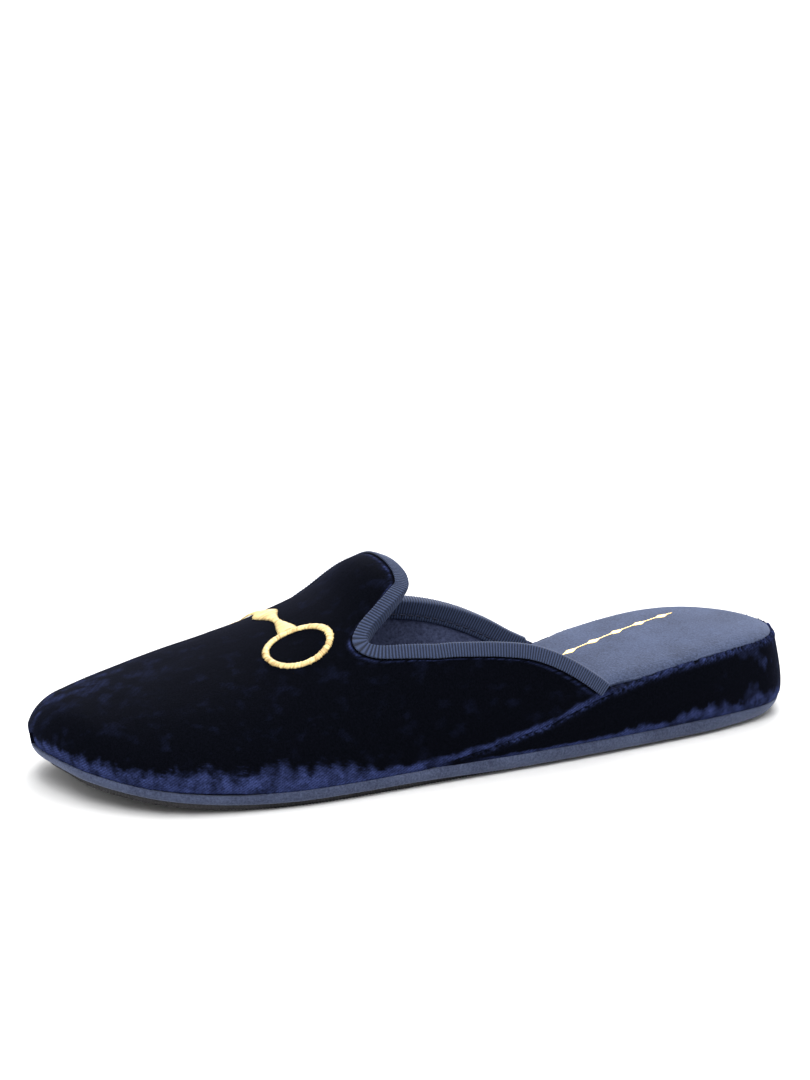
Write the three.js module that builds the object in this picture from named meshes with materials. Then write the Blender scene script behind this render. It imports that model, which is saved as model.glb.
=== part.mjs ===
// Velvet mule slipper for the left foot, built up the way a shoemaker builds it.
// Millimetres. +X runs to the toe, +Y to the outer side of the foot, +Z up, the tread lies on z = 0.
import * as THREE from 'three';
import { mergeVertices } from 'three/addons/utils/BufferGeometryUtils.js';

// ---- driving dimensions ----
const LENGTH = 257;          // heel back to toe tip
const TOE_Y = -8.5;          // the toe tip lies towards the inner side
const CLEAR = 0.25;          // gap between neighbouring pieces
const SPRING_START = 185;    // the tread is flat up to here and lifts towards the toe
const SPRING_RATE = 0.0015;  // lift = rate * distance squared
const OUTSOLE = 2.4;         // thickness of the rubber sole
const OUTSOLE_INSET = 2.2;   // the rubber lies inside the outline by this much at the ball of the foot
const BAND_TOP = 5.6;        // highest level of the band
const WRAP_BULGE = 1.3;      // how far the velvet round the heel swells outwards
const WRAP_END = 142;        // the wrap runs out this far from the heel
const SOCK = 0.9;            // microsuede sock
const CUSHION = 2.8;         // foam under the sock
const BOARD = 1.2;           // fibreboard insole
const CROWN = 1.0;           // the sock is this much higher along its middle
const VELVET = 1.0;          // outer fabric of the upper
const BACKING = 0.6;         // interlining behind the velvet, and the toe puff
const LINING = 0.7;          // microsuede lining
const TAPE = 0.6;            // grosgrain tape bound over the top edge
const TAPE_OUTSIDE = 4.1;    // width of the tape on the outside
const TAPE_INSIDE = 6.4;     // width of the tape on the inside
const STITCH_LINE = 4.7;     // the seam through the tape, measured from the top edge
const THREAD = 0.4;          // thickness of the sewing thread
const PUFF_START = 205;      // the toe puff replaces the interlining from here forwards
const SIDE_BULGE = 3.0;      // the upper swells over the outline
const MOTIF_CENTRE = 101;      // the embroidery's middle lies a little to the inner side of the ridge
const RING = { at: 177.7, angle: 66.5, along: 10.5, across: 8.7, width: 2.3 };
const EMBROIDERY = 0.6;      // thickness of the satin stitch
const BAR_WAIST = 1.3;       // half width of the bar between the crest and each ring
const BAR_FLARE = 3.1;       // half width of the bar at the rings
const BAR_CREST = 4.0;       // half width of the bar over the crest
const MARK = { from: [30, -14.5], to: [80, 0.8], half: 0.7, lozenge: 1.9, thick: 0.35 };

const DEG = Math.PI / 180;

// Smooth curve through [position, value] knots
function through(knots) {
  const x = knots.map((k) => k[0]);
  const y = knots.map((k) => k[1]);
  const last = x.length - 1;
  const slope = x.slice(1).map((v, i) => (y[i + 1] - y[i]) / (v - x[i]));
  const tangent = x.map((v, i) => {
    if (i === 0) return slope[0];
    if (i === last) return slope[last - 1];
    if (slope[i - 1] * slope[i] <= 0) return 0;
    const a = x[i] - x[i - 1];
    const b = x[i + 1] - x[i];
    return (slope[i - 1] * b + slope[i] * a) / (a + b);
  });
  return (v) => {
    const q = Math.min(Math.max(v, x[0]), x[last]);
    let i = x.findIndex((edge, k) => k > 0 && q <= edge) - 1;
    if (i < 0) i = 0;
    const h = x[i + 1] - x[i];
    const t = (q - x[i]) / h;
    const keep = (1 + 2 * t) * (1 - t) ** 2 * y[i] + t * t * (3 - 2 * t) * y[i + 1];
    return keep + t * (1 - t) ** 2 * h * tangent[i] + t * t * (t - 1) * h * tangent[i + 1];
  };
}

const { lerp, smoothstep } = THREE.MathUtils;
const spring = (s) => (s > SPRING_START ? SPRING_RATE * (s - SPRING_START) ** 2 : 0);

// Outline of the foot shape: distance from the heel, outer side, inner side
const STATIONS = [
  [248.5, 18.4, -28.9], [228, 39.1, -37.3], [190, 46.3, -39.5], [142, 42.7, -33.8],
  [92, 38.1, -26.5], [34, 29, -31.5], [9, 20, -21.5],
];
const outlinePoints = [
  new THREE.Vector3(LENGTH, TOE_Y, 0),
  ...STATIONS.map(([s, outer]) => new THREE.Vector3(s, outer, 0)),
  new THREE.Vector3(0, 0, 0),
  ...STATIONS.toReversed().map(([s, , inner]) => new THREE.Vector3(s, inner, 0)),
];
const outline = new THREE.CatmullRomCurve3(outlinePoints, true, 'catmullrom', 0.5);

// Height of the seam where the upper meets the sole unit
const feather = through([[0, 26.8], [30, 26.6], [60, 23.9], [80, 20.4], [100, 14.6], [122, 10.1],
  [145, 6.8], [165, 5.8], [190, 5.8], [215, 7.3], [235, 9.2], [257, 12.9]]);
// Height of the upper along its ridge, before the toe rounds it off
const ridgeLine = through([[60, 77], [124, 66.2], [136, 63.8], [148, 59.6], [160, 52.9], [175, 46.3],
  [200, 38.1], [225, 31.6], [243, 27.2], [257, 25]]);
const ridgeY = through([[0, 0], [120, 0], [160, -3], [210, -8], [257, TOE_Y]]);
// The velvet swells up just in front of the tongue's edge and curls down at the edge itself
const tongue = through([[132, -1.2], [138.5, -1.2], [143, 1.5], [148.5, 2.6], [154, 1.8], [158, 0.7],
  [163, 0]]);
const NOSE = 243;
function crest(s) {
  const base = feather(LENGTH);
  const u = Math.max(0, (s - NOSE) / (LENGTH - NOSE));
  return u > 0 ? base + (ridgeLine(s) - base) * Math.sqrt(Math.max(0, 1 - u * u)) : ridgeLine(s);
}
// Height of the sock over the seam, and how far the inner layers lie inside the outline
const rise = through([[0, 0.3], [62, 0.3], [100, 2.2], [150, 4.4], [257, 4.4]]);
const innerInset = through([[0, 4.05], [6, 4.05], [42, 2.05], [66, 2.05], [75, 4.5], [84, 4.2], [104, 3.4],
  [190, 3.4], [215, 4.4], [240, 6.5], [257, 9]]);
// How far the sole unit tucks in: at the toe tip, along the heel, and at the back of the heel
const toe = (s) => smoothstep(s, 247, 256.5);
const heel = (s) => 1 - smoothstep(s, 112, 152);
const back = (s) => 1 - smoothstep(s, 6, 42);
const outsoleInset = (s) => OUTSOLE_INSET + 4 * toe(s) + 1.8 * heel(s) + 3.3 * back(s);
const coreInset = (s) => 2.05 + 2.8 * toe(s) + 2 * back(s);
const seamInset = (s) => 1.6 * toe(s);

// tau runs along the slipper: 0 at the toe tip, 1 at the back of the heel
const outerSide = (tau) => outline.getPoint(tau / 2);
const innerSide = (tau) => outline.getPoint(tau > 0 ? 1 - tau / 2 : 0);
function tauAt(s) {
  let low = 0;
  let high = 1;
  for (let i = 0; i < 40; i += 1) {
    const mid = (low + high) / 2;
    if (outerSide(mid).x > s) low = mid;
    else high = mid;
  }
  return (low + high) / 2;
}
// Point of the outline moved inwards
function edgePoint(t, inset) {
  const p = outline.getPoint(t);
  const dir = outline.getTangent(t);
  return new THREE.Vector3(p.x - dir.y * inset, p.y + dir.x * inset, 0);
}

// Outer surface of the upper. angle 0 is the outer seam, 90 degrees the ridge, 180 the inner seam
function upperPoint(tau, angle) {
  const outer = outerSide(tau);
  const inner = innerSide(tau);
  const s = outer.x;
  const base = feather(s);
  const mid = (outer.y + inner.y) / 2;
  const half = (outer.y - inner.y) / 2;
  const c = Math.cos(angle);
  const sn = Math.sin(angle);
  const swell = SIDE_BULGE * Math.min(1, Math.max(0, (LENGTH - s) / 40));
  const fold = angle < Math.PI / 2 ? angle : Math.PI - angle;
  const side = Math.sign(c) * (half * Math.abs(c) ** 0.95 + swell * Math.sin(2 * Math.abs(fold)));
  const lean = (ridgeY(s) - mid) * sn * sn;
  const z = base + (crest(s) - base) * Math.abs(sn) + tongue(s) * sn ** 4;
  const tuck = seamInset(s) * (1 - smoothstep(z - base, 0, 5));
  const t = c > 0 ? tau / 2 : 1 - tau / 2;
  const inwards = edgePoint(t, tuck).sub(edgePoint(t, 0));
  return new THREE.Vector3(s, mid + side + lean, z).add(inwards);
}
function upperFrame(tau, angle) {
  const step = 0.002;
  const t0 = Math.max(tau - step, 0.0005);
  const along = upperPoint(t0 + 2 * step, angle).sub(upperPoint(t0, angle)).divideScalar(2 * step);
  const a0 = Math.max(angle - step, 0);
  const a1 = Math.min(angle + step, Math.PI);
  const around = upperPoint(tau, a1).sub(upperPoint(tau, a0)).divideScalar(a1 - a0);
  const normal = new THREE.Vector3().crossVectors(along, around).normalize();
  if (tau < 0.004) normal.set(1, 0, 0);
  return { point: upperPoint(tau, angle), along, around, normal };
}
function upperOffset(tau, angle, offset) {
  const { point, normal } = upperFrame(tau, angle);
  return point.addScaledVector(normal, offset);
}
// Walk over the surface by a short vector and return the new tau and angle
function walk(tau, angle, step) {
  const { along, around } = upperFrame(tau, angle);
  const aa = along.dot(along);
  const ab = along.dot(around);
  const bb = around.dot(around);
  const sa = step.dot(along);
  const sb = step.dot(around);
  const det = aa * bb - ab * ab;
  return [tau + (sa * bb - sb * ab) / det, angle + (sb * aa - sa * ab) / det];
}

// ---- solids from grids of points ----
function solid(points, faces) {
  const geometry = new THREE.BufferGeometry();
  geometry.setAttribute('position', new THREE.Float32BufferAttribute(points.flatMap((p) => p.toArray()), 3));
  geometry.setIndex(faces);
  const merged = mergeVertices(geometry, 1e-3);
  const index = Array.from(merged.index.array);
  const kept = [];
  for (let i = 0; i < index.length; i += 3) {
    const [a, b, c] = index.slice(i, i + 3);
    if (a !== b && b !== c && c !== a) kept.push(a, b, c);
  }
  merged.setIndex(kept);
  if (volume(merged) < 0) {
    for (let i = 0; i < kept.length; i += 3) [kept[i], kept[i + 1]] = [kept[i + 1], kept[i]];
    merged.setIndex(kept);
  }
  merged.computeVertexNormals();
  return merged;
}
function volume(geometry) {
  const at = (i) => new THREE.Vector3().fromBufferAttribute(geometry.attributes.position, i);
  const index = geometry.index.array;
  let total = 0;
  for (let i = 0; i < index.length; i += 3) {
    total += at(index[i]).dot(at(index[i + 1]).cross(at(index[i + 2]))) / 6;
  }
  return total;
}
// Two grids of the same size, one over the other, closed round their rims
function slab(top, bottom) {
  const rows = top.length;
  const cols = top[0].length;
  const faces = [];
  const id = (layer, r, c) => layer * rows * cols + r * cols + c;
  const quad = (a, b, c, d) => faces.push(a, b, c, a, c, d);
  for (let r = 0; r + 1 < rows; r += 1) {
    for (let c = 0; c + 1 < cols; c += 1) {
      quad(id(0, r, c), id(0, r + 1, c), id(0, r + 1, c + 1), id(0, r, c + 1));
      quad(id(1, r, c), id(1, r, c + 1), id(1, r + 1, c + 1), id(1, r + 1, c));
    }
    quad(id(0, r, 0), id(1, r, 0), id(1, r + 1, 0), id(0, r + 1, 0));
    quad(id(0, r + 1, cols - 1), id(1, r + 1, cols - 1), id(1, r, cols - 1), id(0, r, cols - 1));
  }
  for (let c = 0; c + 1 < cols; c += 1) {
    quad(id(0, 0, c + 1), id(1, 0, c + 1), id(1, 0, c), id(0, 0, c));
    quad(id(0, rows - 1, c), id(1, rows - 1, c), id(1, rows - 1, c + 1), id(0, rows - 1, c + 1));
  }
  return solid([...top.flat(), ...bottom.flat()], faces);
}
// A row of equal sections, closed to a loop or capped at both ends
function sweep(sections, closed) {
  const n = sections[0].length;
  const count = sections.length;
  const faces = [];
  for (let i = 0; i < (closed ? count : count - 1); i += 1) {
    const next = (i + 1) % count;
    for (let k = 0; k < n; k += 1) {
      const l = (k + 1) % n;
      faces.push(i * n + k, i * n + l, next * n + l, i * n + k, next * n + l, next * n + k);
    }
  }
  if (!closed) {
    const flat = (section) => {
      const u = section[1].clone().sub(section[0]).normalize();
      const w = new THREE.Vector3();
      section.forEach((p, k) => w.add(p.clone().cross(section[(k + 1) % n])));
      w.normalize();
      const v = w.clone().cross(u);
      return section.map((p) => new THREE.Vector2(p.dot(u), p.dot(v)));
    };
    THREE.ShapeUtils.triangulateShape(flat(sections[0]), []).forEach(([a, b, c]) => faces.push(a, c, b));
    const end = (count - 1) * n;
    THREE.ShapeUtils.triangulateShape(flat(sections[count - 1]), [])
      .forEach(([a, b, c]) => faces.push(end + a, end + b, end + c));
  }
  return solid(sections.flat(), faces);
}

// ---- the sole unit ----
const STEPS = 80;   // every ring round the sole uses the same places on the outline
// Layer across the whole width: top and bottom give the height at (distance, side -1..1)
function soleLayer(insetAt, bottom, top, cols = 4) {
  const rows = STEPS / 2;
  const grid = (height) => Array.from({ length: rows + 1 }, (_, r) => {
    const tau = r / rows;
    const s = outerSide(tau).x;
    const inset = insetAt(s);
    const a = edgePoint(tau / 2, inset);
    const b = r > 0 ? edgePoint(1 - tau / 2, inset) : a;
    return Array.from({ length: cols + 1 }, (__, c) => {
      const w = (2 * c) / cols - 1;
      const p = b.clone().lerp(a, (w + 1) / 2);
      p.z = height(p.x, w);
      return p;
    });
  });
  return slab(grid(top), grid(bottom));
}
const crown = through([[4.05, 0], [30, CROWN], [215, CROWN], [247, 0]]);
const sockTop = (s, w) => feather(s) + rise(s) + crown(s) * (1 - w * w);
const cushionTop = (s, w) => sockTop(s, w) - SOCK - CLEAR;
const boardTop = (s) => feather(s) + rise(s) - SOCK - CUSHION - 2 * CLEAR;
const wedgeTop = (s) => boardTop(s) - BOARD - CLEAR;
const soleTop = (s) => spring(s) + OUTSOLE;

const outsole = () => soleLayer(outsoleInset, spring, soleTop, 2);
const wedge = () => soleLayer(coreInset, (s) => soleTop(s) + CLEAR, wedgeTop, 2);
const board = () => soleLayer((s) => innerInset(s), (s) => boardTop(s) - BOARD, boardTop);
const cushion = () => soleLayer((s) => innerInset(s), (s) => boardTop(s) + CLEAR, cushionTop);
const sock = () => soleLayer((s) => innerInset(s), (s, w) => sockTop(s, w) - SOCK, sockTop);

// Band round the sole's edge: it hangs lower along the heel and its foot turns in beside the rubber
function soleBand() {
  const sections = Array.from({ length: STEPS }, (_, i) => {
    const t = i / STEPS;
    const s = outline.getPoint(t).x;
    const inner = coreInset(s) - CLEAR;
    const foot = outsoleInset(s) - CLEAR;
    const over = 0.3 + 1.3 * toe(s) + 0.7 * back(s);
    const under = 0.3 + 3 * toe(s) + 0.7 * heel(s) + 2.8 * back(s);
    const low = (x) => soleTop(x) - 0.3 - 0.9 * heel(x);
    const high = (x) => Math.min(Math.max(BAND_TOP, spring(x) + 4.9), feather(x) - CLEAR - 0.1);
    const between = (f) => [lerp(under, over, f) - 0.6, (x) => lerp(low(x), high(x), f)];
    return [
      [inner, soleTop], [inner, high], [over, high], between(0.7), between(0.3),
      [under, low], [foot, low], [foot, soleTop],
    ].map(([inset, height]) => {
      const p = edgePoint(t, inset);
      return p.setZ(height(p.x));
    });
  });
  return sweep(sections, true);
}
function heelWrap() {
  const first = Math.round((tauAt(WRAP_END) / 2) * STEPS);
  const sections = Array.from({ length: STEPS - 2 * first + 1 }, (_, i) => {
    const t = (first + i) / STEPS;
    const s = outline.getPoint(t).x;
    const low = BAND_TOP + CLEAR;
    const high = feather(s) - CLEAR + 0.2 * smoothstep(76 - s, 0, 12);
    const swell = WRAP_BULGE * Math.min(1, (high - low) / 12);
    const inner = coreInset(s) - CLEAR;
    const under = 0.3 + 0.7 * back(s);
    const over = 0.3 + (0.7 + 1.9 * back(s)) * Math.min(1, (high - low) / 12);
    const belly = (f, part) => [lerp(under, over, f) - swell * part, lerp(low, high, f)];
    const profile = [[inner, low], [inner, high], [over, high], belly(0.75, 0.65), belly(0.45, 1),
      belly(0.15, 0.85), [under, low]];
    return profile.map(([inset, z]) => edgePoint(t, inset).setZ(z));
  });
  return sweep(sections, false);
}

// ---- the upper ----
// Top edge of the upper on the outer side, from the rear end of the quarter over the notch to the
// tip of the tongue: distance from the heel and angle. The inner side mirrors the tongue.
const TOPLINE = [[77, 0], [85, 9], [95, 19.2], [105.7, 27.3], [117.5, 32.7], [131.4, 37.4],
  [144, 41.2], [151.5, 44.8], [156.8, 49], [159.2, 53.4], [156.4, 56.9], [151.2, 58.7], [146.2, 61.2],
  [141.8, 65.4], [139.6, 73], [139.2, 81], [139.2, 90]];
// On the inner side the quarter is cut a little lower
const INNER_QUARTER = [[131.4, 36.8], [117.5, 31.2], [105.7, 24.6], [95, 16.4], [85, 6.8], [77, 0]];
const innerSideKnots = [...TOPLINE.slice(6, -1).toReversed(), ...INNER_QUARTER];
const toplineKnots = [...TOPLINE, ...innerSideKnots.map(([s, a]) => [s, 180 - a])];
const topline = new THREE.CatmullRomCurve3(
  toplineKnots.map(([s, a]) => new THREE.Vector3(s, a, 0)), false, 'catmullrom', 0.5);
const COLUMNS = 50;
const ROWS_BACK = 5;
const ROWS_TOE = 5;

// The place on the surface at a distance from the top edge, for one column of the upper
function fromEdge(u, distance) {
  const { x, y } = topline.getPoint(u);
  const tau = tauAt(x);
  const angle = y * DEG;
  const a = topline.getPoint(Math.max(0, u - 0.004));
  const b = topline.getPoint(Math.min(1, u + 0.004));
  const run = upperPoint(tauAt(b.x), b.y * DEG).sub(upperPoint(tauAt(a.x), a.y * DEG)).normalize();
  const { normal } = upperFrame(tau, angle);
  const into = new THREE.Vector3().crossVectors(normal, run).normalize().multiplyScalar(distance);
  const [tau2, angle2] = walk(tau, angle, into);
  const lowest = Math.min(angle, Math.PI - angle) * (distance > 0 ? 0.3 : 1);
  return [tau2, Math.min(Math.max(angle2, lowest), Math.PI - lowest)];
}
// Rows of the upper's grid for one column, from the top edge to the toe
function column(u) {
  const [tau1, angle1] = fromEdge(u, TAPE_INSIDE + 0.4);
  const seam = tauAt(PUFF_START);
  const angleToe = lerp(angle1, u * Math.PI, 0.85);
  const cells = [fromEdge(u, 0), fromEdge(u, TAPE_OUTSIDE + 0.4)];
  for (let r = 0; r <= ROWS_BACK; r += 1) {
    const f = r / ROWS_BACK;
    cells.push([lerp(tau1, seam, f), lerp(angle1, angleToe, f * 0.6)]);
  }
  for (let r = 1; r <= ROWS_TOE; r += 1) {
    const f = r / ROWS_TOE;
    cells.push([lerp(seam, 0, f), lerp(angle1, angleToe, 0.6 + 0.4 * f)]);
  }
  return cells;
}
const columns = Array.from({ length: COLUMNS + 1 }, (_, i) => column(i / COLUMNS));
function upperShell(outerOffset, innerOffset, pick = (cells) => cells) {
  const grid = (offset) => columns.map((cells) => (
    pick(cells).map(([tau, angle]) => upperOffset(tau, angle, offset))));
  return slab(grid(outerOffset), grid(innerOffset));
}
const backingAt = -(VELVET + CLEAR);
const liningAt = backingAt - BACKING - CLEAR;
const insideAt = liningAt - LINING;

const upperVelvet = () => upperShell(0, -VELVET);
const upperLining = () => upperShell(liningAt, insideAt);
const upperBacking = () =>
  upperShell(backingAt, backingAt - BACKING, (cells) => cells.slice(0, ROWS_BACK + 3));
function toePuff() {
  const start = tauAt(PUFF_START + 1.5);
  return upperShell(backingAt, backingAt - BACKING, (cells) => {
    const front = cells.slice(ROWS_BACK + 2);
    return front.map(([tau, angle]) => [Math.min(tau, start), angle]);
  });
}

// Grosgrain tape folded over the top edge
const TAPE_START = 0.012;
const tapeColumns = Array.from({ length: COLUMNS + 1 },
  (_, i) => THREE.MathUtils.clamp(i / COLUMNS, TAPE_START, 1 - TAPE_START));
function binding() {
  const over = CLEAR + TAPE;
  const under = insideAt - CLEAR;
  const fold = -CLEAR - 0.1;
  const profile = [[TAPE_OUTSIDE, over], [0, over], [-over, over - 1.2], [-over, under - TAPE + 1.2],
    [0, under - TAPE], [TAPE_OUTSIDE + 0.4, under - TAPE], [TAPE_INSIDE, under - TAPE], [TAPE_INSIDE, under],
    [TAPE_OUTSIDE + 0.4, under], [fold, under], [fold, CLEAR], [TAPE_OUTSIDE, CLEAR]];
  const sections = tapeColumns.map((u) => profile.map(([distance, offset]) => {
    const [tau, angle] = fromEdge(u, distance);
    return upperOffset(tau, angle, offset);
  }));
  return sweep(sections, false);
}
function bindingStitching() {
  const top = insideAt - TAPE - 2 * CLEAR;
  const profile = [[0.5, 0], [0, 1], [-0.5, 0], [0, -1]];
  const sections = tapeColumns.slice(2, -2).map((u) => profile.map(([across, depth]) => {
    const [tau, angle] = fromEdge(u, STITCH_LINE + across * THREAD);
    return upperOffset(tau, angle, top - THREAD / 2 + (depth * THREAD) / 2);
  }));
  return sweep(sections, false);
}

// ---- embroidery: an oval ring on each side and a flared bar over the ridge ----
function vampPlace(side, along, across) {
  const angle = (MOTIF_CENTRE + side * (RING.angle - MOTIF_CENTRE)) * DEG;
  const tau = tauAt(RING.at);
  const frame = upperFrame(tau, angle);
  const forward = frame.along.clone().multiplyScalar(-1).normalize();
  const up = new THREE.Vector3().crossVectors(forward, frame.normal).multiplyScalar(side).normalize();
  const step = forward.multiplyScalar(along).addScaledVector(up, across);
  return walk(tau, angle, step);
}
function ring(side) {
  const count = 32;
  const low = 0.35;
  const half = RING.width / 2;
  const profile = [[-half, low], [half, low], [half, low + EMBROIDERY * 0.5], [0, low + EMBROIDERY],
    [-half, low + EMBROIDERY * 0.5]];
  const sections = Array.from({ length: count }, (_, i) => {
    const a = (i / count) * 2 * Math.PI;
    return profile.map(([out, offset]) => {
      const along = (RING.along + out) * Math.cos(a);
      const [tau, angle] = vampPlace(side, along, (RING.across + out) * Math.sin(a));
      return upperOffset(tau, angle, offset);
    });
  });
  return sweep(sections, true);
}
function bar() {
  const count = 24;
  const low = 0.35;
  const [start, end] = [1, -1].map((side) => vampPlace(side, 0, RING.across + RING.width / 2 + CLEAR)[1]);
  const centre = tauAt(RING.at - 0.5);
  const sections = Array.from({ length: count + 1 }, (_, i) => {
    const angle = lerp(start, end, i / count);
    const f = Math.abs(Math.cos(2 * Math.PI * (i / count)));
    const wide = i > count / 4 && i < count * 0.75 ? BAR_CREST : BAR_FLARE;
    const half = lerp(BAR_WAIST, wide, f ** 2.2);
    const { along } = upperFrame(centre, angle);
    return [[-half, low], [half, low], [half * 0.6, low + EMBROIDERY], [-half * 0.6, low + EMBROIDERY]]
      .map(([ahead, offset]) => upperOffset(centre - ahead / along.length(), angle, offset));
  });
  return sweep(sections, false);
}

// ---- foil ornament on the heel of the sock: a thin rule with five lozenges ----
function heelMark() {
  const [x0, y0] = MARK.from;
  const [x1, y1] = MARK.to;
  const count = 20;
  const dir = new THREE.Vector2(x1 - x0, y1 - y0).normalize();
  const sections = Array.from({ length: count + 1 }, (_, i) => {
    const f = i / count;
    const half = i % 4 === 0 ? MARK.lozenge : MARK.half;
    const base = new THREE.Vector2(lerp(x0, x1, f), lerp(y0, y1, f));
    return [[-half, 0], [half, 0], [half, MARK.thick], [-half, MARK.thick]].map(([out, height]) => {
      const x = base.x - dir.y * out;
      const y = base.y + dir.x * out;
      const tau = tauAt(x);
      const inset = innerInset(x);
      const a = edgePoint(tau / 2, inset).y;
      const b = edgePoint(1 - tau / 2, inset).y;
      const w = (2 * (y - b)) / (a - b) - 1;
      return new THREE.Vector3(x, y, sockTop(x, w) + 0.3 + height);
    });
  });
  return sweep(sections, false);
}

// ---- assembly ----
const slipper = new THREE.Group();
slipper.name = 'velvet_mule_slipper';
function add(name, geometry, color, roughness, metalness = 0) {
  const mesh = new THREE.Mesh(geometry, new THREE.MeshStandardMaterial({ color, roughness, metalness }));
  mesh.name = name;
  slipper.add(mesh);
}
add('outsole', outsole(), 0x43454b, 0.85);
add('midsole_wedge', wedge(), 0xd9d4c7, 0.9);
add('sole_band', soleBand(), 0x4c5470, 0.9);
add('heel_wrap', heelWrap(), 0x0c1030, 0.95);
add('insole_board', board(), 0xb09a78, 0.9);
add('insole_cushion', cushion(), 0xe8e2c8, 0.95);
add('sock_lining', sock(), 0x4b5683, 0.95);
add('heel_sock_ornament', heelMark(), 0xe1b45a, 0.35, 0.9);
add('upper_velvet', upperVelvet(), 0x0a0e2a, 0.95);
add('upper_backing', upperBacking(), 0xd8d3c6, 0.9);
add('toe_puff', toePuff(), 0xc9b28c, 0.7);
add('upper_lining', upperLining(), 0x3d4566, 0.95);
add('topline_binding', binding(), 0x39456a, 0.8);
add('binding_stitching', bindingStitching(), 0x20263c, 0.7);
add('embroidered_outer_ring', ring(1), 0xe1b45a, 0.5);
add('embroidered_inner_ring', ring(-1), 0xe1b45a, 0.5);
add('embroidered_bar', bar(), 0xe1b45a, 0.5);

// The middle of the slipper's box goes to the origin
const box = new THREE.Box3();
slipper.children.forEach((mesh) => {
  mesh.geometry.computeBoundingBox();
  box.union(mesh.geometry.boundingBox);
});
const middle = box.getCenter(new THREE.Vector3());
slipper.children.forEach((mesh) => mesh.geometry.translate(-middle.x, -middle.y, 0));

export default slipper;
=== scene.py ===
"""Velvet mule slipper: the looks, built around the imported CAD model. Lengths are in millimetres
until a mesh is made, s is the distance from the back of the heel and y is positive on the outer side."""
import bmesh
import bpy
import math
import numpy as np
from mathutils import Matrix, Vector, noise


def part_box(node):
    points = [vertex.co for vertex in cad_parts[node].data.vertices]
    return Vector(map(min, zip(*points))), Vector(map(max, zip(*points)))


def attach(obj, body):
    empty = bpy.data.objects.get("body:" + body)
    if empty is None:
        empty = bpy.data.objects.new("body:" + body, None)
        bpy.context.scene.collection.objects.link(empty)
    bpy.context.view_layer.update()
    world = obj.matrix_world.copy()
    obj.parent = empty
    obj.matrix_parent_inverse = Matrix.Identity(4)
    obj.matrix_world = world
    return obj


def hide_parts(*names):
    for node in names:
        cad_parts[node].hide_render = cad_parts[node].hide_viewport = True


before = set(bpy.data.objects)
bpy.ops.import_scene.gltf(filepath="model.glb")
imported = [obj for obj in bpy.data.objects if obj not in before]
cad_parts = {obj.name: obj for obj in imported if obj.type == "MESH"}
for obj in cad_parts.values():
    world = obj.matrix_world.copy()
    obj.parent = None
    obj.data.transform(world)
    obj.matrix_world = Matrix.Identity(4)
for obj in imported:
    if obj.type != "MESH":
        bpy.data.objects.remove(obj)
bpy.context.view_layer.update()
MM = 0.001
rng = np.random.default_rng(7)

# ---- driving dimensions, as in the CAD model ----
LENGTH = 257.0
TOE_Y = -8.5
SPRING_START, SPRING_RATE = 185.0, 0.0015
OUTSOLE, OUTSOLE_INSET = 2.4, 2.2
BAND_TOP = 5.6
WRAP_END = 142.0
SOCK, CUSHION = 0.9, 2.8
CLEAR = 0.25
VELVET, BACKING, LINING = 1.0, 0.6, 0.7
TAPE, TAPE_OUTSIDE, TAPE_INSIDE, STITCH_LINE = 0.6, 4.1, 6.4, 4.7
SIDE_BULGE = 3.0
RING_AT, RING_ANGLE, RING_ALONG, RING_ACROSS = 177.7, math.radians(66.5), 10.5, 8.7
MOTIF_CENTRE = math.radians(101)
MARK_FROM, MARK_TO = np.array([30.0, -14.5]), np.array([80.0, 0.8])
NOSE = 243.0
RIB_PITCH = 0.95             # grosgrain ribs
SOLE_RIB = 1.15              # ribs round the sole's edge
TREAD_PITCH, TREAD_DEPTH, TREAD_BOW = 4.6, 0.6, 0.012   # grooves across the tread, bowed by y squared
THREAD, THREAD_BOW = 0.24, 0.5    # radius of an embroidery thread, and how high it arches
INSIDE = -(VELVET + BACKING + LINING + 2 * CLEAR)   # inner face of the lining


# ---- the slipper's shape ----
def through(knots):
    """Smooth curve through (position, value) knots, flat where it turns."""
    x, y = np.array(knots, float).T
    h = np.diff(x)
    slope = np.diff(y) / h
    tangent = np.empty(len(x))
    tangent[0], tangent[-1] = slope[0], slope[-1]
    inner = (slope[:-1] * h[1:] + slope[1:] * h[:-1]) / (h[:-1] + h[1:])
    tangent[1:-1] = np.where(slope[:-1] * slope[1:] <= 0, 0, inner)

    def value(v):
        q = np.clip(v, x[0], x[-1])
        i = np.clip(np.searchsorted(x, q, side="left") - 1, 0, len(h) - 1)
        t = (q - x[i]) / h[i]
        keep = (1 + 2 * t) * (1 - t) ** 2 * y[i] + t * t * (3 - 2 * t) * y[i + 1]
        return keep + t * (1 - t) ** 2 * h[i] * tangent[i] + t * t * (t - 1) * h[i] * tangent[i + 1]
    return value


def catmull(points, t):
    """Catmull-Rom through rows of points that already hold one spare point at each end; t counts segments."""
    i = np.clip(np.floor(t).astype(int), 0, len(points) - 4)
    w = (t - i)[..., None]
    a, b, c, d = points[i], points[i + 1], points[i + 2], points[i + 3]
    linear, square, cube = c - a, 2 * a - 5 * b + 4 * c - d, 3 * b - a - 3 * c + d
    return 0.5 * (2 * b + linear * w + square * w ** 2 + cube * w ** 3)


def smooth(x, low, high):
    t = np.clip((x - low) / (high - low), 0, 1)
    return t * t * (3 - 2 * t)


STATIONS = [(248.5, 18.4, -28.9), (228, 39.1, -37.3), (190, 46.3, -39.5), (142, 42.7, -33.8),
            (92, 38.1, -26.5), (34, 29, -31.5), (9, 20, -21.5)]
LOOP = np.array([(LENGTH, TOE_Y)] + [(s, a) for s, a, _ in STATIONS] + [(0, 0)]
                + [(s, b) for s, _, b in STATIONS[::-1]], float)
LOOP_WRAPPED = np.concatenate([LOOP[-1:], LOOP, LOOP[:2]])


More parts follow.
